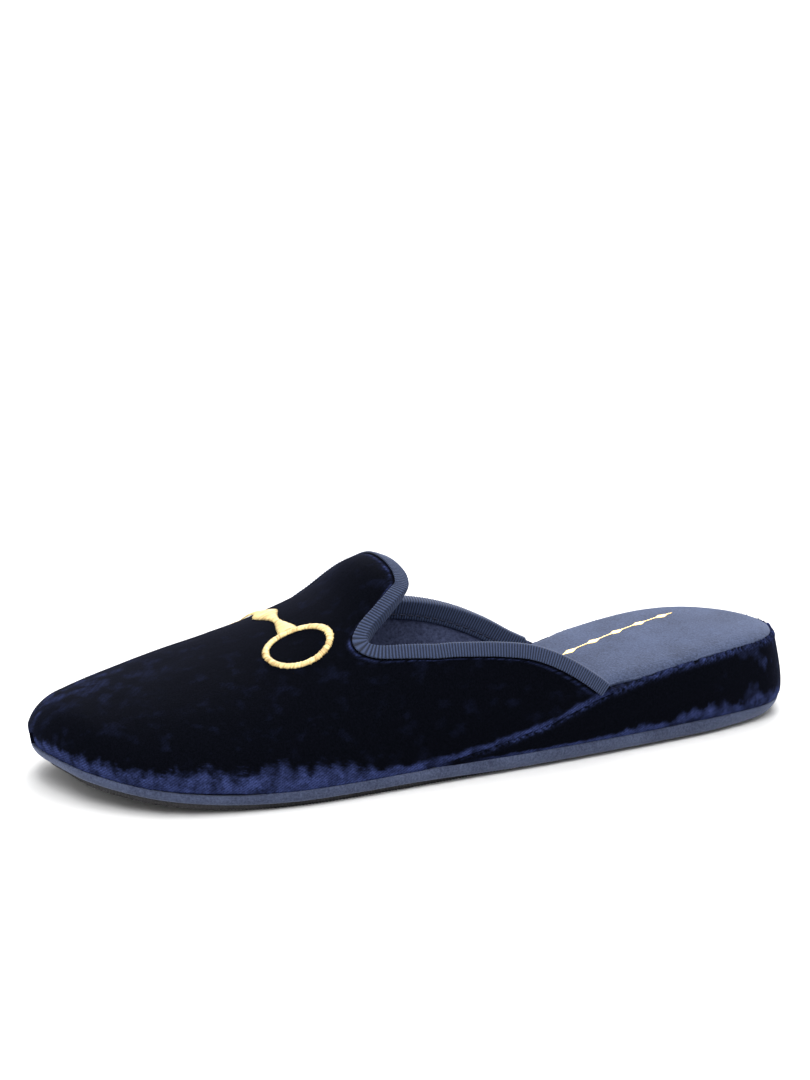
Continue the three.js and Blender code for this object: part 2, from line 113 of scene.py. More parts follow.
def outline(t):
    return catmull(LOOP_WRAPPED, (np.asarray(t, float) % 1.0) * len(LOOP))


def inset_outline(t, inset):
    """Point of the outline moved inwards."""
    t = np.asarray(t, float)
    run = outline(t + 1e-4) - outline(t - 1e-4)
    run /= np.linalg.norm(run, axis=-1, keepdims=True)
    return outline(t) + np.asarray(inset)[..., None] * np.stack([-run[..., 1], run[..., 0]], -1)


feather = through([(0, 26.8), (30, 26.6), (60, 23.9), (80, 20.4), (100, 14.6), (122, 10.1), (145, 6.8),
                   (165, 5.8), (190, 5.8), (215, 7.3), (235, 9.2), (257, 12.9)])
ridge_line = through([(60, 77), (124, 66.2), (136, 63.8), (148, 59.6), (160, 52.9), (175, 46.3),
                      (200, 38.1), (225, 31.6), (243, 27.2), (257, 25)])
ridge_y = through([(0, 0), (120, 0), (160, -3), (210, -8), (257, TOE_Y)])
tongue = through([(132, -1.2), (138.5, -1.2), (143, 1.5), (148.5, 2.6), (154, 1.8), (158, 0.7), (163, 0)])
rise = through([(0, 0.3), (62, 0.3), (100, 2.2), (150, 4.4), (257, 4.4)])
inner_inset = through([(0, 4.05), (6, 4.05), (42, 2.05), (66, 2.05), (75, 4.5), (84, 4.2),
                       (104, 3.4), (190, 3.4), (215, 4.4), (240, 6.5), (257, 9)])
crown = through([(4.05, 0), (30, 1.0), (215, 1.0), (247, 0)])
spring = lambda s: SPRING_RATE * np.maximum(s - SPRING_START, 0) ** 2

# How far the sole unit tucks in at the toe tip, along the heel and at the back of the heel
toe = lambda s: smooth(s, 247, 256.5)
heel = lambda s: 1 - smooth(s, 112, 152)
back = lambda s: 1 - smooth(s, 6, 42)
outsole_inset = lambda s: OUTSOLE_INSET + 4.0 * toe(s) + 1.8 * heel(s) + 3.3 * back(s)
core_inset = lambda s: 2.05 + 2.8 * toe(s) + 2.0 * back(s)
seam_inset = lambda s: 1.6 * toe(s)


def crest(s):
    base = feather(LENGTH)
    u = np.clip((s - NOSE) / (LENGTH - NOSE), 0, 1)
    return base + (ridge_line(s) - base) * np.sqrt(1 - u * u)


TAUS = np.linspace(0, 1, 6001)
TAU_S = outline(TAUS / 2)[:, 0]
tau_at = lambda s: np.interp(-np.asarray(s, float), -TAU_S, TAUS)


def upper_point(tau, angle):
    """Outer surface of the upper: angle 0 is the outer seam, a quarter turn the ridge and a half turn
    the inner seam."""
    a, b = outline(tau / 2), outline(1 - tau / 2)
    s = a[..., 0]
    base = feather(s)
    mid, half = (a[..., 1] + b[..., 1]) / 2, (a[..., 1] - b[..., 1]) / 2
    c, sn = np.cos(angle), np.sin(angle)
    swell = SIDE_BULGE * np.clip((LENGTH - s) / 40, 0, 1)
    fold = np.where(angle < np.pi / 2, angle, np.pi - angle)
    side = np.sign(c) * (half * np.abs(c) ** 0.95 + swell * np.sin(2 * np.abs(fold)))
    lean = (ridge_y(s) - mid) * sn * sn
    z = base + (crest(s) - base) * np.abs(sn) + tongue(s) * sn ** 4
    tuck = seam_inset(s) * (1 - smooth(z - base, 0, 5))
    inwards = inset_outline(np.where(c > 0, tau / 2, 1 - tau / 2), 1.0) - np.where((c > 0)[..., None], a, b)
    return np.stack([s + tuck * inwards[..., 0], mid + side + lean + tuck * inwards[..., 1], z], -1)


def upper_frame(tau, angle):
    step = 0.002
    t0 = np.maximum(tau - step, 0.0005)
    along = (upper_point(t0 + 2 * step, angle) - upper_point(t0, angle)) / (2 * step)
    a0, a1 = np.maximum(angle - step, 0), np.minimum(angle + step, np.pi)
    around = (upper_point(tau, a1) - upper_point(tau, a0)) / (a1 - a0)[..., None]
    normal = np.cross(along, around)
    length = np.linalg.norm(normal, axis=-1, keepdims=True)
    normal = np.where(length > 1e-9, normal / np.maximum(length, 1e-9), [1.0, 0, 0])
    normal = np.where((tau < 0.004)[..., None], [1.0, 0, 0], normal)
    return along, around, normal


def on_upper(tau, angle, offset):
    _, _, normal = upper_frame(tau, angle)
    return upper_point(tau, angle) + normal * np.asarray(offset)[..., None]


def walk(tau, angle, step):
    """Move over the surface by a short vector."""
    along, around, _ = upper_frame(tau, angle)
    aa, ab, bb = (along * along).sum(-1), (along * around).sum(-1), (around * around).sum(-1)
    sa, sb = (step * along).sum(-1), (step * around).sum(-1)
    det = np.maximum(aa * bb - ab * ab, 1e-9)
    return tau + (sa * bb - sb * ab) / det, angle + (sb * aa - sa * ab) / det


TOPLINE = [(77, 0), (85, 9), (95, 19.2), (105.7, 27.3), (117.5, 32.7), (131.4, 37.4), (144, 41.2),
           (151.5, 44.8), (156.8, 49), (159.2, 53.4), (156.4, 56.9), (151.2, 58.7), (146.2, 61.2),
           (141.8, 65.4), (139.6, 73), (139.2, 81), (139.2, 90)]
INNER_QUARTER = [(131.4, 36.8), (117.5, 31.2), (105.7, 24.6), (95, 16.4), (85, 6.8), (77, 0)]
KNOTS = np.array(TOPLINE + [(s, 180 - a) for s, a in TOPLINE[-2:5:-1] + INNER_QUARTER], float)
KNOTS_SPARE = np.concatenate([2 * KNOTS[:1] - KNOTS[1:2], KNOTS, 2 * KNOTS[-1:] - KNOTS[-2:-1]])


def topline(u):
    """Top edge of the upper: (tau, angle)."""
    p = catmull(KNOTS_SPARE, np.asarray(u, float) * (len(KNOTS) - 1))
    return tau_at(p[..., 0]), np.clip(np.radians(p[..., 1]), 0, np.pi)


def from_edge(u, distance):
    """The place on the surface at a distance from the top edge."""
    tau, angle = topline(u)
    run = upper_point(*topline(np.minimum(u + 0.004, 1))) - upper_point(*topline(np.maximum(u - 0.004, 0)))
    run /= np.linalg.norm(run, axis=-1, keepdims=True)
    _, _, normal = upper_frame(tau, angle)
    into = np.cross(normal, run)
    into /= np.linalg.norm(into, axis=-1, keepdims=True)
    tau2, angle2 = walk(tau, angle, into * np.asarray(distance)[..., None])
    lowest = np.minimum(angle, np.pi - angle) * np.where(np.asarray(distance) > 0, 0.3, 1.0)
    return tau2, np.clip(angle2, lowest, np.pi - lowest)


def evenly(start, end, count):
    """Values of u from start to end that are evenly spaced in millimetres along the top edge."""
    u = np.linspace(start, end, 4000)
    p = upper_point(*topline(u))
    run = np.concatenate([[0], np.cumsum(np.linalg.norm(np.diff(p, axis=0), axis=1))])
    return np.interp(np.linspace(0, run[-1], count), run, u), run[-1]


# The row's origin lies under the middle of the box: find the shift from a piece whose outline is known
_low, _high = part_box("outsole")
_edge = inset_outline(np.arange(80) / 80, outsole_inset(outline(np.arange(80) / 80)[:, 0]))
SHIFT = np.array([_edge[:, 0].min() - _low.x / MM, _edge[:, 1].min() - _low.y / MM, 0])


# ---- meshes ----
def field(points, scale, octaves=3, seed=0.0):
    """Smooth noise at points in millimetres; scale is the size of its patches."""
    flat = points.reshape(-1, 3) / scale + seed
    out = np.array([noise.fractal(Vector(p), 1.0, 2.0, octaves) for p in flat])
    return out.reshape(points.shape[:-1])


def make(name, points, faces, material, nodes=(), shade=True, data=None):
    """A mesh object from points in millimetres. data holds one number per point for each named attribute."""
    mesh = bpy.data.meshes.new(name)
    co = (np.asarray(points, float).reshape(-1, 3) - SHIFT) * MM
    faces = np.asarray(faces)
    mesh.vertices.add(len(co))
    mesh.vertices.foreach_set("co", co.ravel())
    mesh.loops.add(faces.size)
    mesh.loops.foreach_set("vertex_index", faces.ravel().astype(np.int32))
    mesh.polygons.add(len(faces))
    mesh.polygons.foreach_set("loop_start", np.arange(len(faces), dtype=np.int32) * faces.shape[1])
    mesh.update(calc_edges=True)
    for key, values in (data or {}).items():
        layer = mesh.attributes.new(key, "FLOAT", "POINT")
        layer.data.foreach_set("value", np.asarray(values, np.float32).ravel())
    clean(mesh)
    mesh.polygons.foreach_set("use_smooth", np.full(len(mesh.polygons), shade))
    obj = bpy.data.objects.new(name, mesh)
    bpy.context.scene.collection.objects.link(obj)
    obj.data.materials.append(material)
    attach(obj, "root")
    if nodes:
        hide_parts(*nodes)
    return obj


def clean(mesh):
    """Weld points that coincide, drop faces with no area, and turn every face outwards."""
    bm = bmesh.new()
    bm.from_mesh(mesh)
    bmesh.ops.remove_doubles(bm, verts=bm.verts, dist=2e-6)
    bmesh.ops.dissolve_degenerate(bm, edges=bm.edges, dist=1e-6)
    bmesh.ops.recalc_face_normals(bm, faces=bm.faces)
    bm.to_mesh(mesh)
    bm.free()
    mesh.update()


def grid_faces(rows, cols, first=0, close_rows=False, close_cols=False, flip=False):
    r = np.arange(rows if close_rows else rows - 1)
    c = np.arange(cols if close_cols else cols - 1)
    r, c = np.meshgrid(r, c, indexing="ij")
    r2, c2 = (r + 1) % rows, (c + 1) % cols
    quads = np.stack([r * cols + c, r2 * cols + c, r2 * cols + c2, r * cols + c2], -1).reshape(-1, 4) + first
    return quads[:, ::-1] if flip else quads


def shell(outer, inner):
    """Points and faces of a closed body between two grids of the same size."""
    rows, cols = outer.shape[:2]
    n = rows * cols
    border = [r * cols for r in range(rows)] + [(rows - 1) * cols + c for c in range(1, cols)]
    border += [r * cols + cols - 1 for r in range(rows - 2, -1, -1)] + [c for c in range(cols - 2, 0, -1)]
    border = np.array(border)
    following = np.roll(border, -1)
    rim = np.stack([border, following, following + n, border + n], -1)
    faces = np.concatenate([grid_faces(rows, cols), grid_faces(rows, cols, n, flip=True), rim])
    return np.concatenate([outer.reshape(-1, 3), inner.reshape(-1, 3)]), faces


def tube(sections, closed=False):
    """Points and faces of a row of equal closed sections; open ends are closed to their middle."""
    count, n = sections.shape[:2]
    faces = grid_faces(count, n, close_rows=closed, close_cols=True)
    points = sections.reshape(-1, 3)
    if not closed:
        ends = np.stack([sections[0].mean(0), sections[-1].mean(0)])
        k = np.arange(n)
        first = np.stack([k, (k + 1) % n, np.full(n, count * n), np.full(n, count * n)], -1)
        last = np.stack([(k + 1) % n, k, np.full(n, 1), np.full(n, 1)], -1)
        last[:, :2] += (count - 1) * n
        last[:, 2:] = count * n + 1
        points = np.concatenate([points, ends])
        return points, [faces, np.concatenate([first, last])[:, :3]]
    return points, [faces]


def all_triangles(faces):
    """Quads and triangles as one list of triangles."""
    out = []
    for part in faces:
        if part.shape[1] == 4:
            out += [part[:, [0, 1, 2]], part[:, [0, 2, 3]]]
        else:
            out.append(part)
    return np.concatenate(out)


# ---- materials ----
class Paint:
    """A procedural material: short names for its nodes."""

    def __init__(self, name, **shader):
        self.material = bpy.data.materials.new(name)
        self.material.use_nodes = True
        self.tree = self.material.node_tree
        self.bsdf = self.tree.nodes["Principled BSDF"]
        for key, value in shader.items():
            self.bsdf.inputs[key.replace("_", " ")].default_value = value
        self.place = self.add("ShaderNodeTexCoord").outputs["Object"]

    def add(self, kind, **settings):
        node = self.tree.nodes.new(kind)
        for key, value in settings.items():
            setattr(node, key, value)
        return node

    def join(self, source, target):
        self.tree.links.new(source, target)

    def scaled(self, scale, turn=(0, 0, 0)):
        node = self.add("ShaderNodeMapping")
        node.inputs["Scale"].default_value = scale
        node.inputs["Rotation"].default_value = turn
        self.join(self.place, node.inputs["Vector"])
        return node.outputs["Vector"]

    def noise(self, size_mm, detail=3.0, rough=0.5, where=None):
        node = self.add("ShaderNodeTexNoise")
        node.inputs["Scale"].default_value = 1000.0 / size_mm
        node.inputs["Detail"].default_value = detail
        node.inputs["Roughness"].default_value = rough
        self.join(where or self.place, node.inputs["Vector"])
        return node.outputs["Fac"]

    def cells(self, size_mm, output="Distance"):
        node = self.add("ShaderNodeTexVoronoi")
        node.inputs["Scale"].default_value = 1000.0 / size_mm
        self.join(self.place, node.inputs["Vector"])
        return node.outputs[output]

    def lines(self, pitch_mm, turn=(0, 0, 0), wobble=0.0):
        node = self.add("ShaderNodeTexWave", wave_type="BANDS", bands_direction="X", wave_profile="SIN")
        node.inputs["Scale"].default_value = 1000.0 / pitch_mm * 0.314159
        node.inputs["Distortion"].default_value = wobble
        node.inputs["Detail Scale"].default_value = 2.0
        self.join(self.scaled((1, 1, 1), turn), node.inputs["Vector"])
        return node.outputs["Fac"]

    def given(self, name):
        return self.add("ShaderNodeAttribute", attribute_name=name).outputs["Fac"]

    def spread(self, source, low, high, to_low=0.0, to_high=1.0):
        node = self.add("ShaderNodeMapRange")
        for key, value in (("From Min", low), ("From Max", high), ("To Min", to_low), ("To Max", to_high)):
            node.inputs[key].default_value = value
        self.join(source, node.inputs["Value"])
        return node.outputs["Result"]

    def math(self, kind, a, b):
        node = self.add("ShaderNodeMath", operation=kind)
        for socket, value in zip(node.inputs, (a, b)):
            if isinstance(value, (int, float)):
                socket.default_value = value
            else:
                self.join(value, socket)
        return node.outputs[0]

    def mix(self, factor, a, b):
        node = self.add("ShaderNodeMix", data_type="RGBA")
        self.join(factor, node.inputs[0])
        for socket, value in ((node.inputs[6], a), (node.inputs[7], b)):
            if isinstance(value, tuple):
                socket.default_value = (*value, 1)
            else:
                self.join(value, socket)
        return node.outputs[2]

    def colour(self, source):
        self.join(source, self.bsdf.inputs["Base Color"])

    def rough(self, source):
        self.join(source, self.bsdf.inputs["Roughness"])

    def bump(self, source, height_mm, strength=1.0):
        node = self.add("ShaderNodeBump")
        node.inputs["Distance"].default_value = height_mm * MM
        node.inputs["Strength"].default_value = strength
        self.join(source, node.inputs["Height"])
        last = self.bsdf.inputs["Normal"]
        if last.is_linked:
            self.join(last.links[0].from_socket, node.inputs["Normal"])
        self.join(node.outputs["Normal"], last)


def srgb(r, g, b):
    """Linear colour from an 8-bit display colour."""
    out = []
    for v in (r, g, b):
        v /= 255
        out.append(v / 12.92 if v <= 0.04045 else ((v + 0.055) / 1.055) ** 2.4)
    return tuple(out)


def velvet():
    p = Paint("navy_velvet", Roughness=0.95, Specular_IOR_Level=0.02, Sheen_Weight=0.06, Sheen_Roughness=0.4,
              Sheen_Tint=(0.1, 0.14, 0.42, 1))
    pile = p.noise(0.55, 3, 0.65)
    clumps = p.noise(4.5, 4, 0.6)
    twill = p.lines(0.75, (0.4, 0.9, 0.6), 1.2)
    # Painted sheen: this attribute lightens the velvet towards srgb(52, 62, 106) where it curves under at its
    # seams, under the binding and on the toe's crest; a little of it is random lighter pile
    lit = p.math("MULTIPLY", p.given("painted_sheen_and_pile"), p.spread(clumps, 0.34, 0.62, 0.25, 1.15))
    grain = p.math("ADD", p.math("MULTIPLY", p.spread(pile, 0.3, 0.7), 0.65), p.math("MULTIPLY", twill, 0.35))
    lit = p.math("MULTIPLY", lit, p.spread(grain, 0.1, 0.8, 0.35, 1.1))
    deep = p.mix(p.spread(pile, 0.35, 0.7), srgb(2, 3, 6), srgb(6, 7, 14))
    p.colour(p.mix(lit, deep, srgb(52, 62, 106)))
    p.bump(pile, 0.12, 0.8)
    p.bump(clumps, 0.5, 0.35)
    return p.material


def suede(name, deep, pale, grain=0.5, sheen=0.35):
    p = Paint(name, Roughness=0.95, Specular_IOR_Level=0.12, Sheen_Weight=sheen, Sheen_Roughness=0.5,
              Sheen_Tint=(0.6, 0.68, 0.95, 1))
    fine = p.noise(grain, 3, 0.7)
    patches = p.noise(14, 3, 0.5)
    both = p.math("ADD", p.math("MULTIPLY", p.spread(fine, 0.3, 0.7), 0.7),
                  p.math("MULTIPLY", p.spread(patches, 0.3, 0.7), 0.3))
    p.colour(p.mix(both, deep, pale))
    p.bump(fine, 0.14, 0.8)
    return p.material


def grosgrain():
    p = Paint("grosgrain_tape", Roughness=0.7, Specular_IOR_Level=0.2, Sheen_Weight=0.15, Sheen_Roughness=0.4,
              Sheen_Tint=(0.5, 0.6, 0.95, 1))
    threads = p.noise(0.25, 2, 0.6)
    # Painted shade: the attribute darkens the tape between its ribs and lightens the rib crests
    tone = p.math("MULTIPLY", p.given("painted_rib_shade"), p.spread(threads, 0.3, 0.7, 0.75, 1.1))
    p.colour(p.mix(tone, srgb(4, 6, 13), srgb(55, 67, 97)))
    p.bump(threads, 0.05, 0.6)
    return p.material


def rubber():
    p = Paint("outsole_rubber", Roughness=0.8, Specular_IOR_Level=0.35)
    fine = p.noise(0.5, 4, 0.6)
    worn = p.noise(16, 3, 0.5)
    tone = p.math("ADD", p.math("MULTIPLY", p.spread(fine, 0.3, 0.7), 0.5),
                  p.math("MULTIPLY", p.spread(worn, 0.35, 0.7), 0.5))
    p.colour(p.mix(tone, srgb(34, 34, 37), srgb(62, 61, 64)))
    p.rough(p.spread(worn, 0.3, 0.7, 0.7, 0.9))
    p.bump(fine, 0.06, 0.6)
    return p.material


def gold_thread():
    p = Paint("gold_thread", Roughness=0.42, Specular_IOR_Level=0.55, Sheen_Weight=0.25, Sheen_Roughness=0.3,
              Sheen_Tint=(1.0, 0.9, 0.62, 1))
    strand = p.noise(0.22, 2, 0.5)
    patches = p.noise(2.2, 3, 0.55)
    tone = p.math("ADD", p.math("MULTIPLY", p.given("strand"), 0.6),
                  p.math("MULTIPLY", p.spread(patches, 0.3, 0.7), 0.4))
    p.colour(p.mix(tone, srgb(150, 110, 52), srgb(252, 230, 164)))
    p.rough(p.spread(strand, 0.3, 0.7, 0.34, 0.55))
    p.bump(strand, 0.03, 0.6)
    return p.material


def gold_foil():
    p = Paint("gold_foil", Metallic=0.85, Roughness=0.38)
    worn = p.noise(0.8, 4, 0.6)
    p.colour(p.mix(p.spread(worn, 0.3, 0.7), srgb(206, 162, 88), srgb(250, 222, 150)))
    p.rough(p.spread(worn, 0.35, 0.65, 0.28, 0.5))
    p.bump(worn, 0.03, 0.5)
    return p.material


def hidden(name, deep, pale, size):
    """Foam, board and interlining: pieces inside, plain but not flat."""
    p = Paint(name, Roughness=0.9, Specular_IOR_Level=0.2)
    cells = p.cells(size)
    p.colour(p.mix(p.spread(cells, 0.0, 0.7), deep, pale))
    p.bump(cells, 0.15, 0.5)
    return p.material


def thread():
    p = Paint("dark_thread", Roughness=0.6, Specular_IOR_Level=0.35)
    twist = p.noise(0.3, 2, 0.5)
    p.colour(p.mix(p.spread(twist, 0.3, 0.7), srgb(14, 17, 34), srgb(36, 42, 66)))
    p.bump(twist, 0.03, 0.6)
    return p.material


VELVET_LOOK = velvet()
SOCK_LOOK = suede("sock_microsuede", srgb(20, 24, 40), srgb(70, 81, 109), 0.7, 0.2)
LINING_LOOK = suede("lining_microsuede", srgb(22, 26, 46), srgb(80, 88, 119), 0.9, 0.2)
BAND_LOOK = suede("band_microsuede", srgb(26, 31, 50), srgb(72, 80, 104), 0.7)
TAPE_LOOK = grosgrain()
RUBBER_LOOK = rubber()
GOLD_LOOK = gold_thread()
FOIL_LOOK = gold_foil()
THREAD_LOOK = thread()


# ---- the upper ----
def upper_cells(us, back_rows, toe_rows, tape_rows=4):
    """(tau, angle) of a grid over the upper, from the top edge to the toe."""
    tau0, angle0 = from_edge(us, np.zeros_like(us))
    tau1, angle1 = from_edge(us, np.full_like(us, TAPE_OUTSIDE + 0.4))
    toe_angle = 0.15 * angle1 + 0.85 * us * np.pi
    taus, angles = [], []
    for f in np.linspace(0, 1, tape_rows, endpoint=False):
        taus.append(tau0 * (1 - f) + tau1 * f)
        angles.append(angle0 * (1 - f) + angle1 * f)
    for f in np.linspace(0, 1, back_rows + toe_rows):
        taus.append(tau1 * (1 - f))
        angles.append(angle1 * (1 - f) + toe_angle * f)
    return np.array(taus).T, np.array(angles).T


def seam_distance(tau, angle):
    here = upper_point(tau, angle)
    a = np.linalg.norm(here - upper_point(tau, np.zeros_like(tau)), axis=-1)
    b = np.linalg.norm(here - upper_point(tau, np.full_like(tau, np.pi)), axis=-1)
    return np.minimum(a, b)


SKIRT = 0.45    # the velvet's lower edge reaches down over the band's top
# Height of the painted sheen along the upper's lower seam: a lighter border painted where the velvet curves
# under
LIT_BORDER = through([(77, 2.0), (140, 2.2), (160, 3.2), (178, 7.0), (215, 7.5), (245, 5.0), (257, 5.0)])


def upper_velvet():
    us, _ = evenly(0, 1, 440)
    tau, angle = upper_cells(us, 110, 150, 5)
    here = upper_point(tau, angle)
    s = here[..., 0]
    seam = seam_distance(tau, angle)
    edge = np.linalg.norm(here - here[:, 5:6], axis=-1)
    edge[:, :5] = 0
    free = smooth(seam, 0, 9) * smooth(edge, 0, 7)
    roll = -0.4 * (1 - smooth(seam, 0, 2.6))
    soft = (0.12 + 0.3 * field(here, 24, 2, 3.0)) * free
    tufts = field(here, 0.9, 2, 9.0)
    fuzz = 0.25 * np.exp(-((seam - 1.6) / 1.4) ** 2) * (0.4 + tufts)
    fuzz += 0.35 * np.exp(-((edge - 0.6) / 0.7) ** 2) * (0.5 + tufts) * (edge > 0)
    outer = on_upper(tau, angle, roll + soft + fuzz)
    inner = on_upper(tau, angle, np.full(tau.shape, -VELVET))
    skirt = SKIRT * (1 + 1.2 * np.exp(-((s[[0, -1]] - 146) / 9) ** 2)) + 0.45 * np.maximum(0, tufts[[0, -1]])
    outer[[0, -1], :, 2] -= skirt
    inner[[0, -1], :, 2] -= SKIRT
    # Painted sheen: lighter streaks along the lower seam, a lighter line under the top edge and a lighter
    # patch on the toe's crest, besides faint random patches of lighter pile
    streak = field(here * [1, 1, 0.3], 4.0, 4, 5.0) + 0.5 * tufts
    height = np.clip(LIT_BORDER(s) * (1 + 0.55 * streak), 0.6, 14)
    painted_sheen_and_pile = 0.9 * (1 - smooth(seam, 0.35 * height, height))
    painted_sheen_and_pile = np.maximum(painted_sheen_and_pile, 0.75 * np.exp(-((edge - 0.5) / 0.8) ** 2) * (0.5 + tufts) * (edge > 0))
    patch = field(here, 5.0, 3, 14.0)
    crest_light = smooth(s, 200, 240) * np.exp(-((angle - 1.85) / 0.4) ** 2)
    painted_sheen_and_pile = np.maximum(painted_sheen_and_pile, 0.28 * crest_light * smooth(patch, -0.25, 0.4) + 0.05 * smooth(patch, 0.2, 0.7))
    points, faces = shell(outer, inner)
    return make("velvet_upper", points, faces, VELVET_LOOK, ["upper_velvet"],
                data={"painted_sheen_and_pile": np.concatenate([np.clip(painted_sheen_and_pile, 0, 1).ravel(), np.zeros(painted_sheen_and_pile.size)])})


def upper_lining():
    us, _ = evenly(0, 1, 240)
    tau, angle = upper_cells(us, 40, 40, 3)
    top = -(VELVET + BACKING + 2 * CLEAR)
    here = upper_point(tau, angle)
    soft = 0.12 * field(here, 9, 2, 1.0)
    points, faces = shell(on_upper(tau, angle, np.full(tau.shape, top)), on_upper(tau, angle, INSIDE + soft))
    return make("lining", points, faces, LINING_LOOK, ["upper_lining"])


TAPE_ENDS = (0.012, 0.988)


def tape():
    """Ribbed grosgrain folded over the top edge: the ribs run across it."""
    _, length = evenly(*TAPE_ENDS, 10)
    ribs = int(length / RIB_PITCH)
    us, _ = evenly(*TAPE_ENDS, ribs * 6 + 1)
    over, under = CLEAR + TAPE, INSIDE - CLEAR
    round_mid = (over + under - TAPE) / 2
    radius = (over - under + TAPE) / 2
    profile = [(TAPE_OUTSIDE, CLEAR + 0.1, 0), (TAPE_OUTSIDE, over - 0.12, 0.5)]
    profile += [(d, over, 1) for d in (TAPE_OUTSIDE - 0.3, 3.8, 2.5, 1.2, 0.3)]
    turn = np.linspace(0.25, math.pi - 0.25, 9)
    profile += [(-0.75 * math.sin(a), round_mid + radius * math.cos(a), 1) for a in turn]
    profile += [(d, under - TAPE, 1) for d in (0.3, 1.2, 2.5, 3.8, STITCH_LINE - 0.35)]
    profile += [(STITCH_LINE, under - TAPE + 0.22, 0.2), (STITCH_LINE + 0.35, under - TAPE + 0.03, 0.8),
                (TAPE_INSIDE - 0.25, under - TAPE + 0.05, 0.9), (TAPE_INSIDE, under - TAPE + 0.25, 0.4)]
    profile += [(TAPE_INSIDE, under, 0), (1.5, under, 0), (-CLEAR, under, 0),
                (-CLEAR, CLEAR, 0), (1.5, CLEAR, 0)]
    phase = np.arange(len(us)) / 6.0
    wave = np.abs(np.sin(np.pi * phase)) ** 0.8
    sections, painted_rib_shade = [], []
    for distance, offset, ribbed in profile:
        d = np.full_like(us, distance)
        out = 1.0 if offset > round_mid else -1.0
        lift = (wave - 0.75) * 0.3 * ribbed * (out if distance > -0.3 else 0.0)
        push = (wave - 0.75) * 0.3 * ribbed * (1.0 if distance <= -0.3 else 0.0)
        tau, angle = from_edge(us, d - push)
        sections.append(on_upper(tau, angle, offset + lift))
        # Painted shade: dark in the gaps between ribs, light on the crests; the unribbed edges and hidden
        # faces are painted dark
        painted_rib_shade.append(0.1 + 0.9 * wave ** 2.2 if ribbed else 0.1 * wave)
    sections = np.stack(sections, 1)
    points, faces = tube(sections)
    shade = np.concatenate([np.stack(painted_rib_shade, 1).ravel(), [0.2, 0.2]])
    return make("grosgrain_binding", points, all_triangles(faces), TAPE_LOOK,
                ["topline_binding"], data={"painted_rib_shade": shade})


def capsules(starts, ends, radius, sides=6, rings=6, lift=None):
    """Short rounded threads from starts to ends, bowed along lift."""
    f = np.linspace(0, 1, rings)
    thick = radius * np.sqrt(np.clip(1 - (2 * f - 1) ** 4, 0.06, 1))
    along = ends - starts
    unit = along / np.linalg.norm(along, axis=1, keepdims=True)
    up = lift / np.linalg.norm(lift, axis=1, keepdims=True)
    side = np.cross(unit, up)
    centre = starts[:, None] + along[:, None] * f[None, :, None]
    centre = centre + lift[:, None] * (4 * f * (1 - f))[None, :, None]
    a = np.linspace(0, 2 * np.pi, sides, endpoint=False)
    cos, sin = np.cos(a)[None, None, :, None], np.sin(a)[None, None, :, None]
    ring = side[:, None, None] * cos + up[:, None, None] * sin
    points = centre[:, :, None] + ring * thick[None, :, None, None]
    body = grid_faces(rings, sides, close_cols=True)
    k = np.arange(1, sides - 1)
    cap = np.stack([np.zeros_like(k), k, k + 1], -1)
    one = all_triangles([body, cap[:, ::-1], cap + (rings - 1) * sides])
    count = len(starts)
    faces = (one[None] + (np.arange(count) * rings * sides)[:, None, None]).reshape(-1, 3)
    return points.reshape(-1, 3), faces


def stitching():
    """Machine stitches through the tape, on its inner face."""
    _, length = evenly(0.03, 0.97, 10)
    count = int(length / 3.0)
    us, _ = evenly(0.03, 0.97, count * 5 + 1)
    level = INSIDE - CLEAR - TAPE - 0.02
    place = lambda u: on_upper(*from_edge(u, np.full_like(u, STITCH_LINE)), np.full_like(u, level))
    starts, ends = place(us[0:-1:5]), place(us[4::5])
    middle = us[2::5][:len(starts)]
    _, _, normal = upper_frame(*from_edge(middle, np.full_like(middle, STITCH_LINE)))
    points, faces = capsules(starts, ends[:len(starts)], 0.2, lift=-normal * 0.12)
    return make("binding_seam_stitches", points, faces, THREAD_LOOK, ["binding_stitching"])


# ---- embroidery ----
def vamp_step(side, along, up):
    """(tau, angle) at a step in millimetres from the middle of the ring: along forwards, and up towards
    the ridge."""
    tau = np.full_like(along, tau_at(RING_AT))
    angle = np.full_like(along, MOTIF_CENTRE + side * (RING_ANGLE - MOTIF_CENTRE))
    run, _, normal = upper_frame(tau, angle)
    forward = -run / np.linalg.norm(run, axis=-1, keepdims=True)
    rising = np.cross(forward, normal) * side
    rising /= np.linalg.norm(rising, axis=-1, keepdims=True)
    return walk(tau, angle, forward * along[..., None] + rising * up[..., None])


def satin(name, nodes, inside, outside, bow, radius, jitter, base=0.2):
    """Threads laid side by side from inside to outside; each end is a function of the thread's number."""
    n = len(inside[0])
    push = rng.normal(0, jitter, (2, n))
    a = on_upper(*inside, np.full(n, base))
    b = on_upper(*outside, np.full(n, base))
    unit = (b - a) / np.linalg.norm(b - a, axis=1, keepdims=True)
    a, b = a - unit * push[0][:, None], b + unit * push[1][:, None]
    _, _, normal = upper_frame(*inside)
    lift = normal * (bow + rng.normal(0, 0.04, n))[:, None]
    points, faces = capsules(a, b, radius, rings=7, lift=lift)
    tone = np.repeat(np.clip(0.58 + rng.normal(0, 0.33, n), 0, 1), 7 * 6)
    return make(name, points, faces, GOLD_LOOK, nodes, data={"strand": tone})


